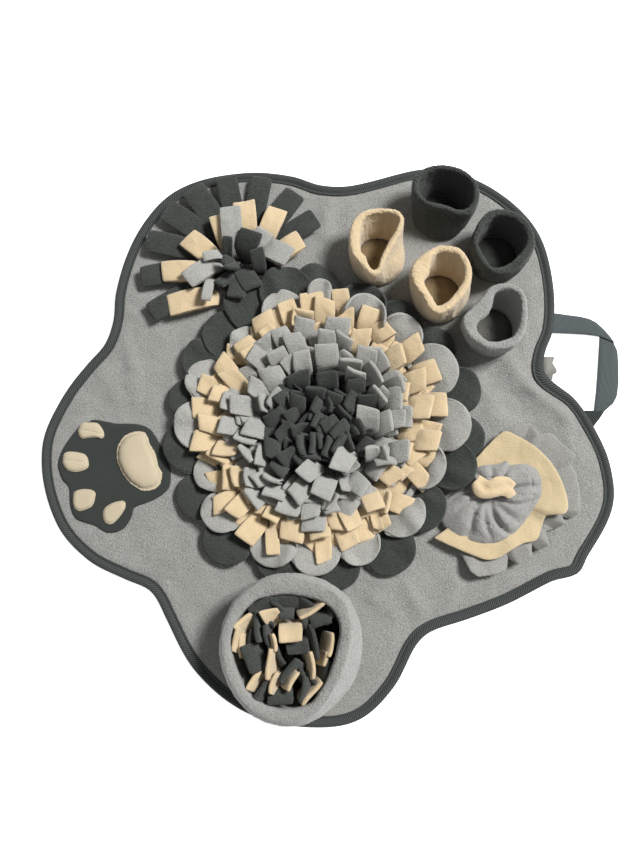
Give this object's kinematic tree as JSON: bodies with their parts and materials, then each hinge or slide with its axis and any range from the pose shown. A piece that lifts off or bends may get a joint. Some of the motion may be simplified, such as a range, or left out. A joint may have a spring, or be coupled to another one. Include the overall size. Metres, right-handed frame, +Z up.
{
  "type": "snuffle mat",
  "caption": "Lobed fleece foraging mat for dogs with a rag flower, a fan of strips, fleece cups, a bucket of strips, a gathered rosette, a stuffed paw and a webbing strap.",
  "frame": {"origin": "middle of the flower, on the floor under the mat", "axes": "+Z up out of the mat; +Y towards the fan and the cups; +X towards the strap"},
  "size_m": [0.7114, 0.6917, 0.0623],
  "materials": {
    "grey_fleece": "matte light grey polar fleece",
    "dark_fleece": "matte charcoal grey polar fleece",
    "cream_fleece": "matte cream polar fleece",
    "edge_tape": "dark grey twill binding tape",
    "strap_webbing": "slate grey woven webbing with a faint sheen",
    "tab_vinyl": "soft taupe vinyl"
  },
  "bodies": {
    "root": {"mat_base": "grey_fleece", "petals_light": "grey_fleece", "flower_grey": "grey_fleece", "fan_grey": "grey_fleece", "cup_light": "grey_fleece", "bucket_wall": "grey_fleece", "rosette_frill": "grey_fleece", "rosette_middle": "grey_fleece", "petals_dark": "dark_fleece", "flower_dark": "dark_fleece", "fan_dark": "dark_fleece", "fan_centre": "dark_fleece", "cup_dark_top": "dark_fleece", "cup_dark_right": "dark_fleece", "bucket_dark": "dark_fleece", "paw_patch": "dark_fleece", "flower_cream": "cream_fleece", "fan_cream": "cream_fleece", "cup_cream_left": "cream_fleece", "cup_cream_right": "cream_fleece", "bucket_cream": "cream_fleece", "rosette_collar": "cream_fleece", "rosette_curl": "cream_fleece", "paw_pad": "cream_fleece", "paw_toe_1": "cream_fleece", "paw_toe_2": "cream_fleece", "paw_toe_3": "cream_fleece", "paw_toe_4": "cream_fleece", "edge_binding": "edge_tape", "carry_strap": "strap_webbing", "edge_tab": "tab_vinyl"}
  },
  "joints": []
}
